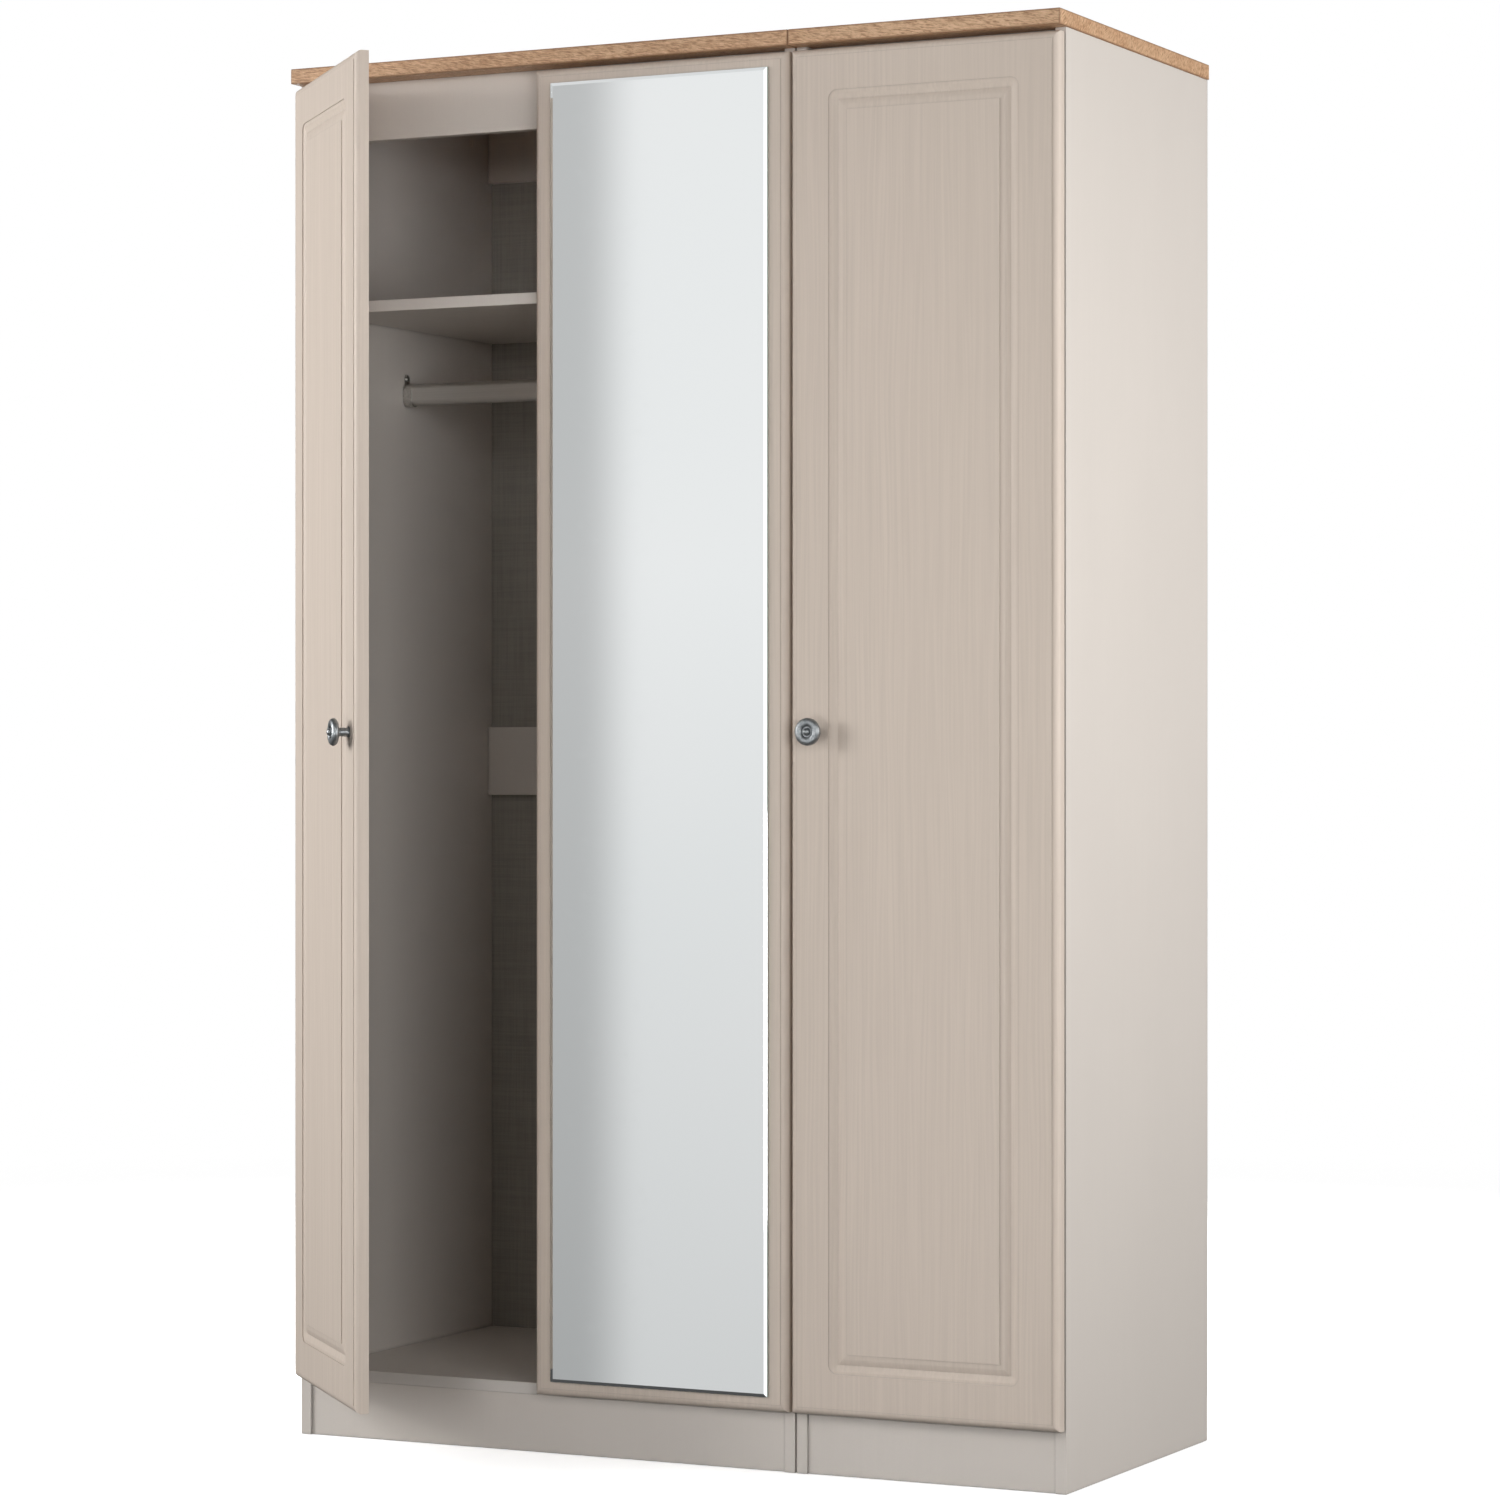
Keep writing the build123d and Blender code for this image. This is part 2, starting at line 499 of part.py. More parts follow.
def hinges(door, x_outer, hand, side_node):
    """Three hinges of one door, with their screws."""
    cup, pin, arm, plate = hinge_cup(), hinge_pin(), hinge_arm(), hinge_plate()
    bore = cup_block(FIT_CLEARANCE, 0, DOOR_GAP + CUP_DEPTH + 0.1)
    inward = X * hand
    for z in (DOOR_BOTTOM + HINGE_END_DISTANCE, DOOR_MIDDLE, DOOR_TOP - HINGE_END_DISTANCE):
        add(f"{door}_hinge_cups", at_hinge(cup, x_outer, hand, z))
        add(f"{door}_hinge_pins", at_hinge(pin, x_outer, hand, z))
        add("hinge_arms", at_hinge(arm, x_outer, hand, z))
        add("hinge_plates", at_hinge(plate, x_outer, hand, z))
        cut(f"{door}_door_panel", at_hinge(bore, x_outer, hand, z))
        for dz in (-22.5, 22.5):
            cup_screw = Vector(x_outer + hand * CUP_X, -DOOR_GAP + FLANGE, z + dz)
            wood_screw(f"{door}_cup_screws", cup_screw, -Y, 11.5,
                       (f"{door}_hinge_cups", f"{door}_door_panel"), head_radius=3.0)
        for dz in (-16.0, 16.0):
            plate_x = x_outer + hand * (BOARD + PLATE_THICKNESS)
            wood_screw("plate_screws", Vector(plate_x, PLATE_SCREW_Y, z + dz), -inward, 13.0,
                       ("hinge_plates", side_node))
        arm_x = x_outer + hand * (ARM_X + ARM_THICKNESS)
        wood_screw("arm_screws", Vector(arm_x, 50.0, z), -inward, 5.0, ("hinge_arms", "hinge_plates"))


# ---------------------------------------------------------------- whole doors
def door(name, x_outer, hand, width, grooved):
    """A door slab hung on a carcass side; hand is +1 for left-hung, -1 for right-hung."""
    side_node = {"left": "double_left_side", "mirror": "double_right_side",
                 "right": "single_right_side"}[name]
    x0 = x_outer + DOOR_INSET if hand > 0 else x_outer - DOOR_INSET - width
    place = Pos(x0, DOOR_FRONT, DOOR_BOTTOM)
    add(f"{name}_door_panel", place * door_slab(width, grooved))
    hinges(name, x_outer, hand, side_node)
    if grooved:
        knob_x = x0 + width - KNOB_INSET if hand > 0 else x0 + KNOB_INSET
        tip = 8.0
        at = Vector(knob_x, DOOR_FRONT, DOOR_MIDDLE)
        add(f"{name}_knob", Pos(*at) * knob())
        wood_screw(f"{name}_knob_screw", at + Y * DOOR_THICKNESS, -Y, DOOR_THICKNESS + tip,
                   (f"{name}_door_panel", f"{name}_knob"), head_radius=4.5)
    else:
        add(f"{name}_glass", place * mirror_glass(width))
        add(f"{name}_pads", *[place * pad for pad in mirror_pads(width)])


def swing_open(solids, x_outer, angle):
    """Turn the left door's pieces about its hinge pins."""
    pin = Pos(x_outer + PIN_X, PIN_Y, 0)
    turn = pin * Rot(0, 0, -angle) * pin.inverse()
    return [turn * solid for solid in solids]


# ---------------------------------------------------------------- assembly
for unit, (left, right) in UNITS.items():
    carcass(unit, left, right)
    hanging_rail(unit, left + BOARD, right - BOARD)
top_board("double", DOUBLE_LEFT - TOP_SIDE_OVERHANG, TOP_JOINT - 0.15)
top_board("single", TOP_JOINT + 0.15, SINGLE_RIGHT + TOP_SIDE_OVERHANG)
unit_connectors()
door("left", DOUBLE_LEFT, 1, DOUBLE_DOOR_WIDTH, grooved=True)
door("mirror", DOUBLE_RIGHT, -1, DOUBLE_DOOR_WIDTH, grooved=False)
door("right", SINGLE_RIGHT, -1, SINGLE_DOOR_WIDTH, grooved=True)

for node, tools in cuts.items():
    parts[node] = [solid - tools for solid in parts[node]]

LEFT_DOOR_NODES = ("left_door_panel", "left_knob", "left_knob_screw", "left_hinge_cups",
                   "left_hinge_pins", "left_cup_screws")
for node in LEFT_DOOR_NODES:
    parts[node] = swing_open(parts[node], DOUBLE_LEFT, LEFT_DOOR_OPEN)

to_origin = Pos(0, -PLINTH_SETBACK - BOARD / 2, 0)
os.makedirs("parts", exist_ok=True)
for node, solids in parts.items():
    placed = [to_origin * solid for solid in solids]
    shape = placed[0] if len(placed) == 1 else Compound(children=placed)
    export_step(shape, f"parts/{node}.step")
print(len(parts), "nodes")
for name, x in (("left", DOUBLE_LEFT + PIN_X), ("mirror", DOUBLE_RIGHT - PIN_X),
                ("right", SINGLE_RIGHT - PIN_X)):
    print(name, "door's pin axis at x, y:", x, PIN_Y - PLINTH_SETBACK - BOARD / 2)
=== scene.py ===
import json
import math

import bpy
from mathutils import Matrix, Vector


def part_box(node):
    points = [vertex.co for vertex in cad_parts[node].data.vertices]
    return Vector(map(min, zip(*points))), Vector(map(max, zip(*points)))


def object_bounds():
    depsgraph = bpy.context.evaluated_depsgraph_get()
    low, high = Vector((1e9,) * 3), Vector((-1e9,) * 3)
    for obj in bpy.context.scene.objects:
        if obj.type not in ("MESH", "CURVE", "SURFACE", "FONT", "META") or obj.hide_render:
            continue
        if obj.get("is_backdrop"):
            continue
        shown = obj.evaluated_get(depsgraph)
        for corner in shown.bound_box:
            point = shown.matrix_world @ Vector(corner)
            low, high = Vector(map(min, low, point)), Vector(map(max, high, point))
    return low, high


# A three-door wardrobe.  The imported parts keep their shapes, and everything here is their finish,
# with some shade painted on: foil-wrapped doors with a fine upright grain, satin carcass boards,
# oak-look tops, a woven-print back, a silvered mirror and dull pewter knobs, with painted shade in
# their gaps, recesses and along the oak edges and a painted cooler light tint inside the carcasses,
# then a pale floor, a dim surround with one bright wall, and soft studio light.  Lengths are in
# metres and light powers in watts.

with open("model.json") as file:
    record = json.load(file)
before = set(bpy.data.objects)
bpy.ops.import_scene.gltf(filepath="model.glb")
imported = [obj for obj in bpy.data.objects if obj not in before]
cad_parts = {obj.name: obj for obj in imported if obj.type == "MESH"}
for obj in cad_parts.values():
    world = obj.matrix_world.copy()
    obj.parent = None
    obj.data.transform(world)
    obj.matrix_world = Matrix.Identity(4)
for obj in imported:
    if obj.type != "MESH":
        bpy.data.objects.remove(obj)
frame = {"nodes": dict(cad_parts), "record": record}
cad_low, cad_high = (Vector(corner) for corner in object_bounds())
nodes = frame["nodes"]


# ---------------------------------------------------------------- shader helpers
class Finish:
    """One material, built by adding nodes and joining sockets."""

    def __init__(self, name):
        self.material = bpy.data.materials.new(name)
        self.material.use_nodes = True
        self.tree = self.material.node_tree
        self.shader = self.tree.nodes["Principled BSDF"]
        self.place = self.add("ShaderNodeTexCoord").outputs["Object"]

    def add(self, kind, inputs=(), **settings):
        node = self.tree.nodes.new(kind)
        for key, value in settings.items():
            setattr(node, key, value)
        for key, value in dict(inputs).items():
            self.feed(node.inputs[key], value)
        return node

    def feed(self, socket, value):
        """Join another node's output to a socket, or set the socket's own value."""
        if isinstance(value, bpy.types.NodeSocket):
            self.tree.links.new(value, socket)
        else:
            socket.default_value = value

    def scaled(self, cycles, place=None):
        """Coordinates scaled along each axis, in cycles a metre."""
        mapping = self.add("ShaderNodeMapping", {"Vector": place or self.place})
        mapping.inputs["Scale"].default_value = cycles
        return mapping.outputs["Vector"]

    def stretched(self, across, along, place=None):
        """Coordinates scaled across and along an upright grain, in cycles a metre."""
        return self.scaled((across, across, along), place)

    def tilted(self, turns, cycles, place=None):
        """Coordinates turned by degrees about each axis, then scaled in cycles a metre."""
        mapping = self.add("ShaderNodeMapping", {"Vector": place or self.place},
                           vector_type="TEXTURE")
        mapping.inputs["Rotation"].default_value = [math.radians(turn) for turn in turns]
        mapping.inputs["Scale"].default_value = [1 / count for count in cycles]
        return mapping.outputs["Vector"]

    def moved(self, **offsets):
        """Coordinates moved by an offset on each named axis."""
        offset = self.add("ShaderNodeCombineXYZ", offsets).outputs["Vector"]
        moved = self.add("ShaderNodeVectorMath", {0: self.place, 1: offset}, operation="ADD")
        return moved.outputs["Vector"]

    def noise(self, vector, detail=3.0, roughness=0.55):
        inputs = {"Vector": vector, "Scale": 1.0, "Detail": detail, "Roughness": roughness}
        return self.add("ShaderNodeTexNoise", inputs).outputs["Fac"]

    def spread(self, value, low, high, to_low=0.0, to_high=1.0):
        """Map a range of values to another, clamped."""
        inputs = {"Value": value, "From Min": low, "From Max": high, "To Min": to_low,
                  "To Max": to_high}
        return self.add("ShaderNodeMapRange", inputs).outputs["Result"]

    def maths(self, operation, first, second=0.0, third=0.0):
        """One step of arithmetic on numbers or sockets."""
        node = self.add("ShaderNodeMath", operation=operation)
        for socket, value in zip(node.inputs, (first, second, third)):
            self.feed(socket, value)
        return node.outputs[0]

    def weighed(self, first, share, second):
        """A share of the first value and the rest of the second."""
        return self.maths("ADD", self.maths("MULTIPLY", first, share),
                          self.maths("MULTIPLY", second, 1.0 - share))

    def blend(self, factor, first, second, mode="MIX"):
        """Mix two colours, or multiply one by the other."""
        node = self.add("ShaderNodeMix", data_type="RGBA", blend_type=mode)
        self.feed(node.inputs[0], factor)
        for socket, value in ((node.inputs[6], first), (node.inputs[7], second)):
            self.feed(socket, (*value, 1.0) if isinstance(value, tuple) else value)
        return node.outputs[2]

    def bump(self, height, strength, distance):
        inputs = {"Height": height, "Strength": strength, "Distance": distance}
        return self.add("ShaderNodeBump", inputs).outputs["Normal"]

    def parts_of(self, vector):
        """The x, y and z of a vector."""
        return self.add("ShaderNodeSeparateXYZ", {"Vector": vector}).outputs

    def facing(self):
        """How far each face looks along x, y and z, from -1 to 1."""
        return self.parts_of(self.add("ShaderNodeTexCoord").outputs["Normal"])

    def finish(self, **sockets):
        """Set the shader's named sockets and give back the material."""
        for key, value in sockets.items():
            value = (*value, 1.0) if isinstance(value, tuple) and len(value) == 3 else value
            self.feed(self.shader.inputs[key.replace("_", " ")], value)
        return self.material


def srgb(red, green, blue):
    """A display colour, 0 to 255, as linear light."""
    def linear(value):
        value /= 255
        return value / 12.92 if value <= 0.04045 else ((value + 0.055) / 1.055) ** 2.4
    return tuple(linear(value) for value in (red, green, blue))


def tinted(colour, factor):
    """A colour made lighter or darker by a factor."""
    return tuple(channel * factor for channel in colour)


def crevice(f, distance, low=0.35):
    """0 in tight corners and gaps, 1 on open faces, from ambient occlusion: a mask for painting
    shade.
    """
    node = f.add("ShaderNodeAmbientOcclusion", {"Distance": distance}, samples=4)
    return f.spread(node.outputs["AO"], low, 0.95)


# ---------------------------------------------------------------- finishes
DOOR_COLOUR = srgb(213, 199, 186)
CARCASS_COLOUR = srgb(219, 211, 203)
BACK_COLOUR = srgb(168, 164, 157)
INSIDE_COOL_LIGHT = (0.995, 1.015, 1.035)
OAK_PALE = srgb(228, 192, 156)
OAK_LIGHT = srgb(214, 176, 140)
OAK_MID = srgb(197, 155, 119)
OAK_DARK = srgb(158, 116, 83)
ZINC = (0.60, 0.60, 0.58)
NICKEL = (0.60, 0.585, 0.56)
BRACKET_LIGHT, BRACKET_DARK = (0.62, 0.60, 0.57), (0.42, 0.41, 0.39)
PEWTER_LIGHT, PEWTER_DARK = (0.40, 0.42, 0.43), (0.21, 0.225, 0.235)
SILVER_WARM, SILVER_COOL = (0.885, 0.915, 0.920), (0.905, 0.925, 0.928)
CUT_GLASS = (0.55, 0.66, 0.62)
THREAD_PITCH = 0.0022
OAK_EDGE_SHADE_CORE, OAK_EDGE_SHADE_REACH = 0.0006, 0.0026


def foil_grain(name, colour):
    """Vinyl-wrapped door: fine upright grain pressed into the foil, with long soft streaks."""
    f = Finish(name)
    sway = f.noise(f.stretched(14, 1.6), detail=2)
    place = f.moved(X=f.spread(sway, 0, 1, -0.012, 0.012))
    fine = f.noise(f.stretched(340, 4.5, place), detail=1, roughness=0.5)
    streak = f.noise(f.stretched(150, 1.8, place), detail=3, roughness=0.6)
    broad = f.noise(f.stretched(18, 0.7, place), detail=2)
    speckle = f.noise(f.scaled((900, 900, 500)), detail=1)
    grain = f.weighed(fine, 0.75, streak)
    tone = f.blend(f.spread(grain, 0.36, 0.64), tinted(colour, 0.962), tinted(colour, 1.032))
    tone = f.blend(f.spread(broad, 0.35, 0.65, 0.0, 0.35), tone, tinted(colour, 0.97))
    line = f.spread(f.noise(f.stretched(95, 1.1, place), detail=1), 0.60, 0.68)
    tone = f.blend(f.maths("MULTIPLY", line, 0.4), tone, tinted(colour, 1.05))
    # painted shade: the foil is darkened in its grooves, steps and gaps
    shade = f.spread(crevice(f, 0.0032, 0.5), 0, 1, 0.75, 0.0)
    tone = f.blend(shade, tone, tinted(colour, 0.64))
    height = f.maths("ADD", grain, f.maths("MULTIPLY", speckle, 0.2))
    rough = f.spread(grain, 0.3, 0.7, 0.60, 0.48)
    return f.finish(Base_Color=tone, Roughness=rough, Normal=f.bump(height, 0.22, 0.0006),
                    Specular_IOR_Level=0.3)


def satin_board(name, colour, inside=None):
    """Carcass laminate: almost plain, with a faint pearl texture and soft cloudy variation.

    Faces that look into a carcass get a painted cooler tint, which stands in for the cooler light
    inside.  With inside None there are none, and with 0 they all are.  On a side board, +1 means
    those that face along x, and -1 those that face against it."""
    f = Finish(name)
    cloud = f.noise(f.scaled((5, 5, 2.5)), detail=3)
    pearl = f.noise(f.scaled((700, 700, 420)), detail=2, roughness=0.6)
    streak = f.noise(f.stretched(160, 5), detail=2)
    tone = f.blend(f.spread(cloud, 0.35, 0.65), tinted(colour, 0.985), tinted(colour, 1.02))
    tone = f.blend(f.spread(pearl, 0.35, 0.65, 0.0, 0.5), tone, tinted(colour, 0.975))
    tone = f.blend(f.spread(streak, 0.4, 0.7, 0.0, 0.4), tone, tinted(colour, 0.98))
    # painted shade: the laminate is darkened in corners and gaps between boards
    shade = f.spread(crevice(f, 0.005), 0, 1, 0.7, 0.0)
    tone = f.blend(shade, tone, tinted(colour, 0.6))
    # painted light: faces inside a carcass are tinted cooler, standing in for the cooler light
    # there
    if inside is not None:
        looks_in = 1.0
        if inside:
            looks_in = f.spread(f.maths("MULTIPLY", f.facing()[0], inside), 0.4, 0.6)
        tone = f.blend(looks_in, tone, INSIDE_COOL_LIGHT, "MULTIPLY")
    rough = f.spread(pearl, 0.3, 0.7, 0.50, 0.40)
    return f.finish(Base_Color=tone, Roughness=rough, Normal=f.bump(pearl, 0.10, 0.0003),
                    Specular_IOR_Level=0.4)


def oak_laminate(name, node):
    """Oak-look top board: long grain on the faces, short flecks, and painted shade along its edges.
    """
    low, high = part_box(node)
    f = Finish(name)
    warp = f.noise(f.scaled((3, 22, 22)), detail=2)
    place = f.moved(Y=f.spread(warp, 0, 1, -0.02, 0.02), Z=f.spread(warp, 0, 1, -0.008, 0.008))
    broad = f.noise(f.scaled((2.2, 45, 45), place), detail=4, roughness=0.6)
    end = f.spread(f.maths("ABSOLUTE", f.facing()[0]), 0.4, 0.6)
    along = f.noise(f.tilted((0, 9, 0), (85, 560, 600), place), detail=3, roughness=0.65)
    across = f.noise(f.tilted((52, 0, 0), (600, 120, 560), place), detail=3, roughness=0.65)
    fine = f.maths("ADD", f.maths("MULTIPLY", across, end),
                   f.maths("MULTIPLY", along, f.maths("SUBTRACT", 1.0, end)))
    fleck = f.noise(f.tilted((30, 24, 12), (130, 820, 820)), detail=2, roughness=0.5)
    patch = f.noise(f.scaled((55, 55, 55)), detail=2)
    tone = f.blend(f.spread(broad, 0.36, 0.64), OAK_MID, OAK_LIGHT)
    tone = f.blend(f.spread(fine, 0.50, 0.64, 0.0, 0.9), tone, OAK_DARK)
    tone = f.blend(f.spread(fine, 0.46, 0.36, 0.0, 0.8), tone, OAK_PALE)
    density = f.spread(patch, 0.38, 0.6, 0.25, 1.0)
    pores = f.maths("MULTIPLY", f.spread(fleck, 0.56, 0.68), density)
    tone = f.blend(f.maths("MULTIPLY", pores, 0.6), tone, OAK_DARK)
    # On an edge two of the three distances to the board's outer faces are nearly nothing, so
    # the middle one of the three tells how near the edge is.
    x, y, z = f.parts_of(f.place)[:3]
    to_side = f.maths("MINIMUM", f.maths("SUBTRACT", x, low.x), f.maths("SUBTRACT", high.x, x))
    to_face = f.maths("MINIMUM", f.maths("SUBTRACT", z, low.z), f.maths("SUBTRACT", high.z, z))
    to_front = f.maths("SUBTRACT", y, low.y)
    smallest = f.maths("MINIMUM", to_side, f.maths("MINIMUM", to_face, to_front))
    largest = f.maths("MAXIMUM", to_side, f.maths("MAXIMUM", to_face, to_front))
    total = f.maths("ADD", to_side, f.maths("ADD", to_face, to_front))
    middle = f.maths("SUBTRACT", f.maths("SUBTRACT", total, smallest), largest)
    # painted shade: a dark line along the board's rounded edges
    edge = f.spread(middle, OAK_EDGE_SHADE_CORE, OAK_EDGE_SHADE_REACH, 0.8, 0.0)
    tone = f.blend(edge, tone, tinted(OAK_DARK, 0.8))
    height = f.maths("SUBTRACT", fine, f.maths("MULTIPLY", pores, 0.8))
    rough = f.spread(fine, 0.3, 0.7, 0.42, 0.55)
    return f.finish(Base_Color=tone, Roughness=rough, Normal=f.bump(height, 0.25, 0.0005),
                    Specular_IOR_Level=0.4)


def woven_back(name):
    """Hardboard back printed and pressed with a fine linen weave."""
    f = Finish(name)
    x, y, z = f.parts_of(f.place)[:3]
    thread = 2 * math.pi / THREAD_PITCH
    wobble = f.noise(f.scaled((30, 30, 30)), detail=2)
    warp = f.maths("SINE", f.maths("MULTIPLY_ADD", x, thread, f.maths("MULTIPLY", wobble, 9)))
    weft = f.maths("SINE", f.maths("MULTIPLY_ADD", z, thread, f.maths("MULTIPLY", wobble, 7)))
    slub_up = f.noise(f.stretched(420, 9), detail=2)
    slub_over = f.noise(f.scaled((9, 420, 420)), detail=2)
    cross = f.maths("MULTIPLY", warp, weft)
    slubs = f.maths("ADD", slub_up, slub_over)
    tone = f.blend(f.spread(cross, -1, 1), tinted(BACK_COLOUR, 0.82), tinted(BACK_COLOUR, 1.12))
    tone = f.blend(f.spread(slubs, 0.85, 1.2, 0.0, 0.5), tone, tinted(BACK_COLOUR, 0.66))
    height = f.maths("ADD", f.maths("MULTIPLY", cross, 0.5), slubs)
    return f.finish(Base_Color=tone, Roughness=0.75, Normal=f.bump(height, 0.4, 0.0003))


def silvered_glass(name):
    """Mirror: silvered front and bevels, and pale green glass on its cut sides and dull back."""
    f = Finish(name)
    cut_side = f.spread(f.facing()[1], -0.35, -0.15)
    waver = f.noise(f.scaled((3, 3, 2)), detail=1)
    dust = f.noise(f.scaled((60, 60, 60)), detail=5, roughness=0.7)
    silver = f.blend(f.spread(waver, 0.3, 0.7), SILVER_WARM, SILVER_COOL)
    tone = f.blend(cut_side, silver, CUT_GLASS)
    return f.finish(Base_Color=tone, Roughness=f.spread(dust, 0.55, 0.8, 0.03, 0.05),
                    Metallic=f.spread(cut_side, 0, 1, 1.0, 0.2))


def aged_metal(name, light, dark, rough_low, rough_high, recess_shade=0.6):
    """Cast or plated metal with mottled tone, and painted shade darkening its recesses."""
    f = Finish(name)
    mottle = f.noise(f.scaled((260, 260, 260)), detail=5, roughness=0.7)
    cloud = f.noise(f.scaled((70, 70, 70)), detail=2)
    blotch = f.weighed(mottle, 0.6, cloud)
    tone = f.blend(f.spread(blotch, 0.38, 0.62), dark, light)
    # painted shade: the metal is darkened in its recesses by an ambient-occlusion mask
    shade = f.spread(crevice(f, 0.004, 0.2), 0, 1, recess_shade, 0.0)
    tone = f.blend(shade, tone, tinted(dark, 0.35))
    rough = f.spread(blotch, 0.35, 0.65, rough_high, rough_low)
    return f.finish(Base_Color=tone, Roughness=rough, Metallic=1.0,
                    Normal=f.bump(mottle, 0.15, 0.0003))


def drawn_steel(name, colour, along=(4, 500, 500), rough=0.24):
    """Plated steel with fine draw lines."""
    f = Finish(name)
    lines = f.noise(f.scaled(along), detail=3)
    smudge = f.noise(f.scaled((25, 25, 25)), detail=3)
    tone = f.blend(f.spread(lines, 0.35, 0.65), tinted(colour, 0.95), tinted(colour, 1.05))
    rough = f.maths("ADD", f.spread(lines, 0.3, 0.7, rough, rough + 0.06),
                    f.spread(smudge, 0.4, 0.7, 0.0, 0.06))
    return f.finish(Base_Color=tone, Roughness=rough, Metallic=1.0,
                    Normal=f.bump(lines, 0.05, 0.0001))


def beech(name):
    """Pale beech with its grain along x."""
    f = Finish(name)
    fibre = f.noise(f.scaled((60, 700, 700)), detail=3)
    tone = f.blend(f.spread(fibre, 0.35, 0.65), srgb(196, 158, 112), srgb(222, 188, 144))
    return f.finish(Base_Color=tone, Roughness=0.7, Normal=f.bump(fibre, 0.3, 0.0003))


def foam(name):
    """Dark closed-cell foam tape."""
    f = Finish(name)
    cells = f.add("ShaderNodeTexVoronoi", {"Vector": f.place, "Scale": 1800.0})
    cells = cells.outputs["Distance"]
    tone = f.blend(f.spread(cells, 0.1, 0.6), srgb(40, 40, 40), srgb(66, 66, 64))
    return f.finish(Base_Color=tone, Roughness=0.9, Normal=f.bump(cells, 0.4, 0.0003))


def dress_nodes():
    """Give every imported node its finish."""
    door = foil_grain("door_foil", DOOR_COLOUR)
    board = satin_board("carcass_board", CARCASS_COLOUR)
    steel = drawn_steel("zinc_plate", ZINC)
    by_name = {"mirror_glass": silvered_glass("mirror_silver"), "mirror_pads": foam("pad_foam"),
               "dowels": beech("dowel_beech"), "cam_locks": board}
    pewter = aged_metal("knob_pewter", PEWTER_LIGHT, PEWTER_DARK, 0.36, 0.54)
    rail = drawn_steel("rail_nickel", NICKEL, along=(3, 900, 900), rough=0.34)
    bracket = aged_metal("bracket_nickel", BRACKET_LIGHT, BRACKET_DARK, 0.24, 0.36, recess_shade=0.4)
    back = woven_back("back_weave")
    for name in ("left_knob", "right_knob"):
        by_name[name] = pewter
    inner_board = satin_board("inner_board", CARCASS_COLOUR, 0)
    left_board = satin_board("left_side_board", CARCASS_COLOUR, 1)
    right_board = satin_board("right_side_board", CARCASS_COLOUR, -1)
    for unit in ("double", "single"):
        for piece in ("base", "shelf", "upper_back_rail", "middle_back_rail"):
            by_name[f"{unit}_{piece}"] = inner_board
        by_name[f"{unit}_left_side"] = left_board
        by_name[f"{unit}_right_side"] = right_board
        by_name[f"{unit}_hanging_rail"] = rail
        by_name[f"{unit}_rail_brackets"] = bracket
        by_name[f"{unit}_back_panel"] = back
        top = f"{unit}_top_board"
        by_name[top] = oak_laminate(f"{unit}_oak", top)
    slots = {row["node"]: row["material_slot"] for row in frame["record"]["subparts"]}
    for name, piece in nodes.items():
        if name in by_name:
            finish = by_name[name]
        elif name.endswith("_door_panel"):
            finish = door
        else:
            finish = board if slots[name] == "white_laminate" else steel
        piece.data.materials.clear()
        piece.data.materials.append(finish)


# ---------------------------------------------------------------- studio
FLOOR_SOLID, FLOOR_RADIUS = 1.1, 4.5
LAMP_DISTANCE = 3.0
REAR_DISTANCE = 3.6
WALL_WAY = (-0.375, -0.927, 0.0)
WALL_EDGE_TURN = 28.75
EYE = (2.6611, -5.0948, 0.9119)
EYE_TURN = 26.57
LENS, SENSOR_WIDTH, LENS_SHIFT = 107.19, 36.0, 0.00205


def pale_floor(centre):
    """Matt white paper that fades out all round, dim to the object and unseen in the mirror."""
    f = Finish("pale_floor")
    rays = f.add("ShaderNodeLightPath").outputs
    cloud = f.noise(f.scaled((2, 2, 2)), detail=2)
    white = f.blend(f.spread(cloud, 0.3, 0.7), (0.90, 0.90, 0.90), (0.94, 0.94, 0.94))
    tone = f.blend(rays["Is Diffuse Ray"], white, (0.06, 0.06, 0.06))
    lift = f.maths("MULTIPLY", rays["Is Camera Ray"], 0.60)
    f.finish(Base_Color=tone, Roughness=0.9, Specular_IOR_Level=0.1,
             Emission_Color=(1.0, 1.0, 1.0), Emission_Strength=lift)
    away = f.add("ShaderNodeVectorMath", {0: f.place, 1: centre}, operation="DISTANCE")
    reach = {"Value": away.outputs["Value"], "From Min": FLOOR_SOLID, "From Max": FLOOR_RADIUS}
    fade = f.add("ShaderNodeMapRange", reach, interpolation_type="SMOOTHSTEP").outputs["Result"]
    fade = f.maths("MAXIMUM", fade, rays["Is Glossy Ray"])
    clear = f.add("ShaderNodeBsdfTransparent").outputs["BSDF"]
    mix = f.add("ShaderNodeMixShader", {0: fade, 1: f.shader.outputs["BSDF"], 2: clear})
    f.tree.links.new(mix.outputs["Shader"], f.tree.nodes["Material Output"].inputs["Surface"])
    return f.material


def floor():
    """A wide pale floor, level with the wardrobe's foot."""
    centre = (cad_low + cad_high) / 2
    half, level = FLOOR_RADIUS + 0.1, cad_low.z - 0.0005
    corners = [(centre.x + i * half, centre.y + j * half, level)
               for i, j in ((-1, -1), (1, -1), (1, 1), (-1, 1))]
    mesh = bpy.data.meshes.new("floor")
    mesh.from_pydata(corners, [], [(0, 1, 2, 3)])
    piece = bpy.data.objects.new("floor", mesh)
    bpy.context.scene.collection.objects.link(piece)
    mesh.materials.append(pale_floor((centre.x, centre.y, level)))
    piece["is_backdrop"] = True


def around(turn, height, distance=LAMP_DISTANCE):
    """A place at a turn in degrees from the front, positive to the doors' right."""
    turn = math.radians(turn)
    return (distance * math.sin(turn), -distance * math.cos(turn), height)


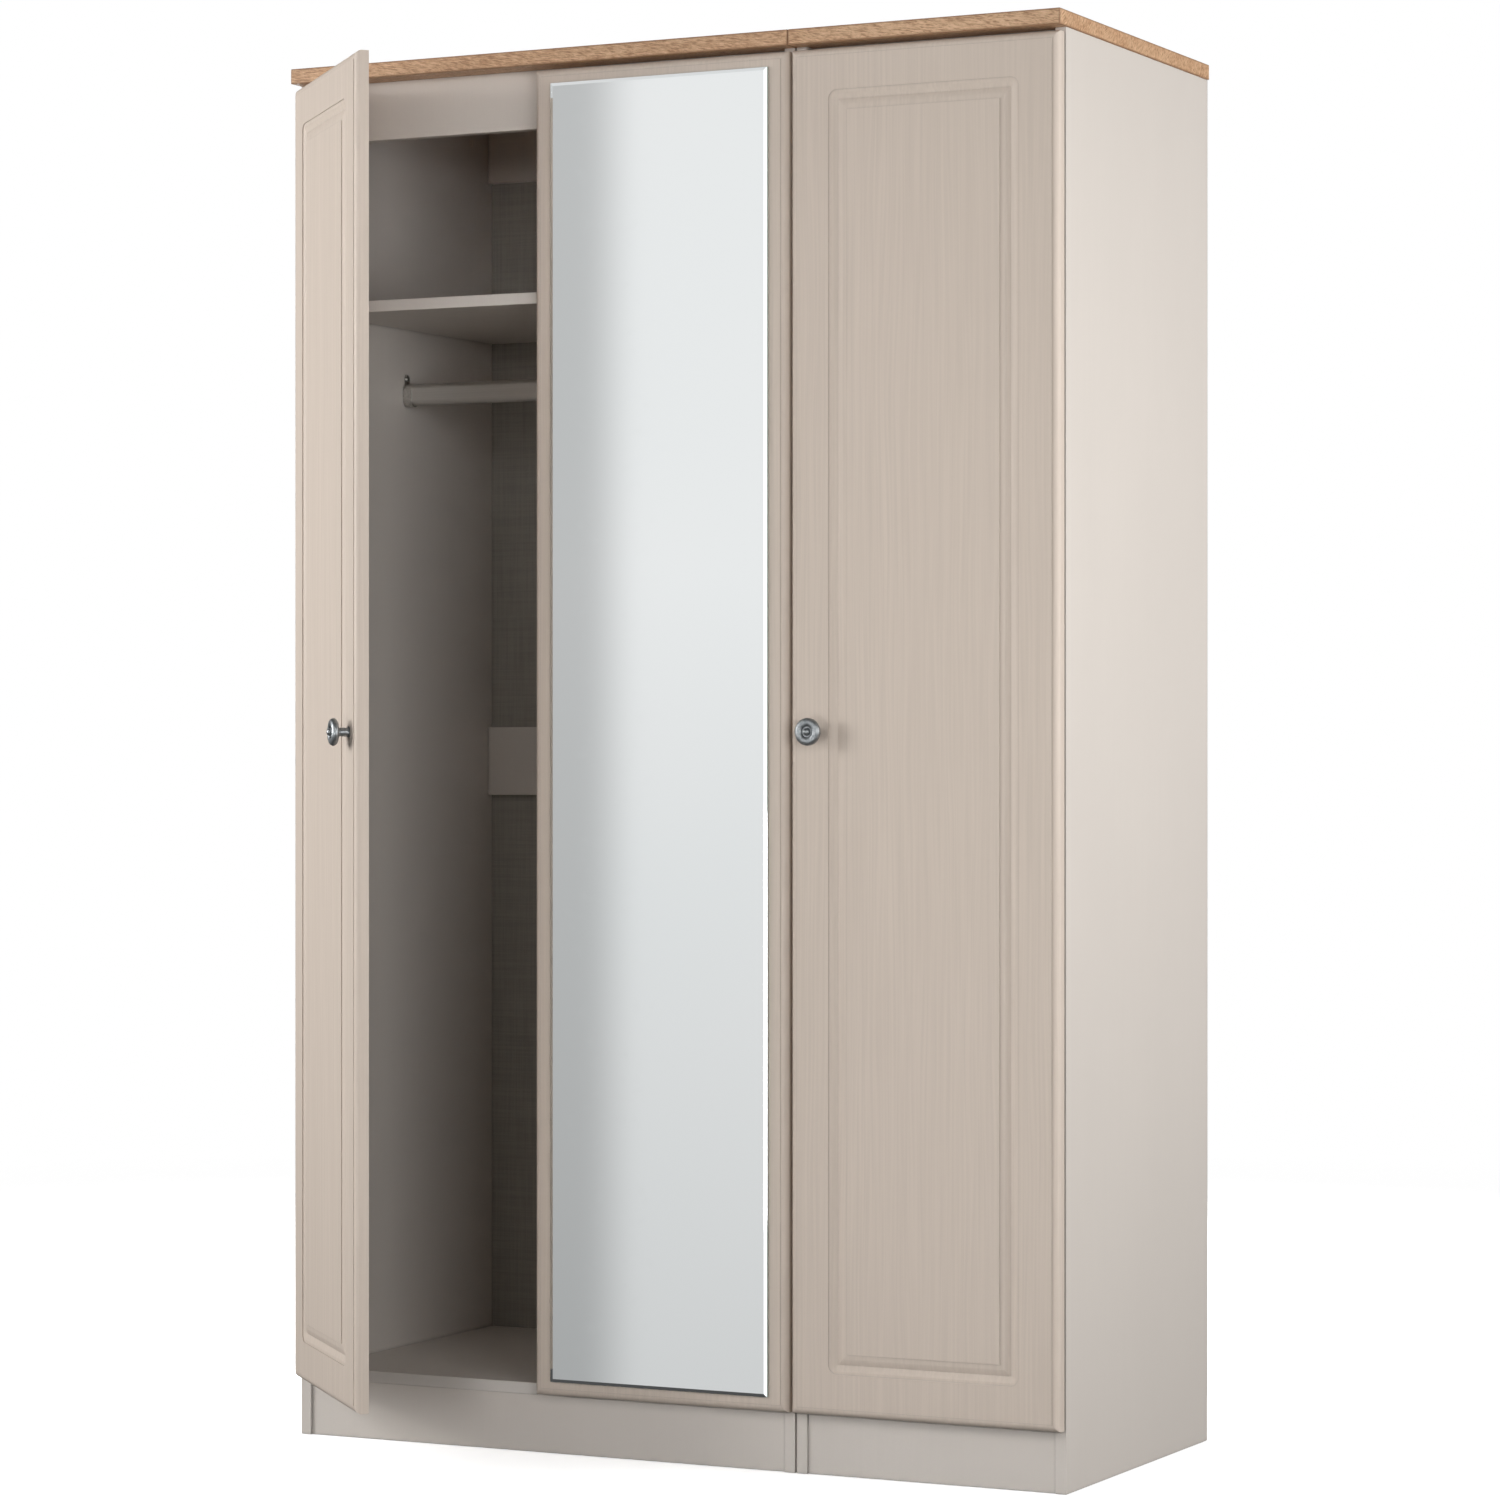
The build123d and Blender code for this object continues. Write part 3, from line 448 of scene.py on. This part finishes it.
def softbox(name, place, aim, size, power, spread=180, diffuse=True, glossy=True):
    """A softbox.  A spread under 180 degrees is a grid on its front, and diffuse or glossy off
    hides it from matt surfaces or from reflections."""
    light = bpy.data.lights.new(name, "AREA")
    light.shape = "RECTANGLE"
    light.size, light.size_y = size
    light.energy = power
    light.spread = math.radians(spread)
    lamp = bpy.data.objects.new(name, light)
    lamp.location = place
    lamp.rotation_euler = (Vector(aim) - Vector(place)).to_track_quat("-Z", "Y").to_euler()
    lamp.visible_camera = False
    lamp.visible_diffuse = diffuse
    lamp.visible_glossy = glossy
    bpy.context.scene.collection.objects.link(lamp)


def surround(tree):
    """White to the camera.  To the object, dim all round with a broad bright wall that stands in
    front of the doors, to their left.

    The wall is lower in tone towards the floor, and past its own left edge."""
    dim = 0.08
    direction = tree.nodes.new("ShaderNodeTexCoord").outputs["Generated"]

    def along(axis):
        """How far the direction looked in goes along an axis, from -1 to 1."""
        node = tree.nodes.new("ShaderNodeVectorMath")
        node.operation = "DOT_PRODUCT"
        node.inputs[1].default_value = Vector(axis).normalized()
        tree.links.new(direction, node.inputs[0])
        return node.outputs["Value"]

    def ramp(value, low, high, to_low, to_high, shape="SMOOTHSTEP"):
        node = tree.nodes.new("ShaderNodeMapRange")
        node.interpolation_type = shape
        for key, number in (("From Min", low), ("From Max", high), ("To Min", to_low),
                            ("To Max", to_high)):
            node.inputs[key].default_value = number
        tree.links.new(value, node.inputs["Value"])
        return node.outputs["Result"]

    def join(operation, first, second):
        node = tree.nodes.new("ShaderNodeMath")
        node.operation = operation
        tree.links.new(first, node.inputs[0])
        if isinstance(second, float):
            node.inputs[1].default_value = second
        else:
            tree.links.new(second, node.inputs[1])
        return node.outputs["Value"]

    edge_turn = math.radians(WALL_EDGE_TURN)
    wall = ramp(along(WALL_WAY), 0.90, 0.985, 0.0, 1.0)
    height = ramp(along((0, 0, 1)), -0.14, 0.04, 0.68, 0.89, "LINEAR")
    edge = ramp(along((math.cos(edge_turn), -math.sin(edge_turn), 0)), 0.0, 0.014, 0.62, 1.0)
    lit = join("MAXIMUM", join("MULTIPLY", join("MULTIPLY", wall, height), edge), dim)
    seen = join("MAXIMUM", lit, tree.nodes.new("ShaderNodeLightPath").outputs["Is Camera Ray"])
    tree.links.new(seen, tree.nodes["Background"].inputs["Strength"])
    tree.nodes["Background"].inputs["Color"].default_value = (1, 1, 1, 1)


def studio():
    """A key from the doors' right, one softbox at each side and behind, and small fills."""
    scene = bpy.context.scene
    world = bpy.data.worlds.new("studio")
    scene.world = world
    world.use_nodes = True
    surround(world.node_tree)
    floor()
    small, middle, large = (0.3, 0.3), (1.1, 1.1), (1.3, 1.3)
    # the key, and the small gridded fills that even it out on the doors and inside
    softbox("low_key", around(45, 1.0), (0, 0.1, 1.0), large, 24.4)
    softbox("key_grid", around(45, 1.45), (-0.1, 0.1, 1.40), middle, 0.66, 60)
    softbox("upper_grid", around(27, 2.2), (-0.1, 0.1, 1.45), middle, 0.47, 34)
    softbox("inner_spot", around(22, 1.62), (-0.36, 0.2, 1.62), small, 0.071, 15)
    # the right side
    softbox("side_box", around(95, 1.5), (0.5, 0.3, 1.3), large, 44.9)
    softbox("side_grid", around(95, 1.0), (0.5, 0.3, 0.9), large, 4.7, 110)
    # the front and the plinths
    softbox("front_spot", around(9, 2.1), (0, 0, 1.3), small, 3.0)
    softbox("front_grid", around(4, 2.1), (0, 0, 1.65), small, 0.23, 40)
    softbox("plinth_grid", around(-4, 0.4), (0.2, 0, 0.1), (0.8, 0.8), 2.3, 60)
    # the left side and the open door
    softbox("left_box", around(-62, 1.5), (-0.3, 0, 1.3), large, 62)
    softbox("left_fill", around(-30, 1.5), (-0.3, 0, 1.3), large, 3.6, glossy=False)
    # the back and the top
    softbox("rear_left", around(-150, 1.8, REAR_DISTANCE), (0, 0.4, 0.9), (1.6, 1.6), 45)
    softbox("rear_box", around(180, 1.6, REAR_DISTANCE), (0, 0.4, 0.9), (1.0, 1.0), 60)
    softbox("overhead", (-0.5, 1.4, 3.8), (-0.2, 0.3, 1.8), (1.2, 1.2), 28)
    # cards that only reflections see, for the mirror's bevels
    softbox("bevel_card", around(-2, 0.9), (0.3, 0, 0.9), (0.5, 3.4), 6.0, diffuse=False)
    softbox("top_card", around(-25, 3.4), (0.1, 0, 1.75), (1.4, 1.0), 3.0, diffuse=False)
    softbox("corner_card", around(-51, 2.2), (-0.1, 0, 1.75), (0.7, 0.8), 1.0, diffuse=False)


def camera():
    """A long lens at chest height, off the right front corner, held level."""
    scene = bpy.context.scene
    data = bpy.data.cameras.new("camera")
    data.lens = LENS
    data.sensor_width = SENSOR_WIDTH
    data.shift_y = LENS_SHIFT
    data.clip_end = 200.0
    eye = bpy.data.objects.new("camera", data)
    eye.location = EYE
    eye.rotation_euler = (math.radians(90), 0, math.radians(EYE_TURN))
    scene.collection.objects.link(eye)
    scene.camera = eye


def picture():
    """How the light is gathered and shown."""
    scene = bpy.context.scene
    scene.view_settings.view_transform = "Standard"
    scene.cycles.use_denoising = True
    scene.cycles.max_bounces = 10
    scene.cycles.diffuse_bounces = 6


dress_nodes()
studio()
camera()
picture()
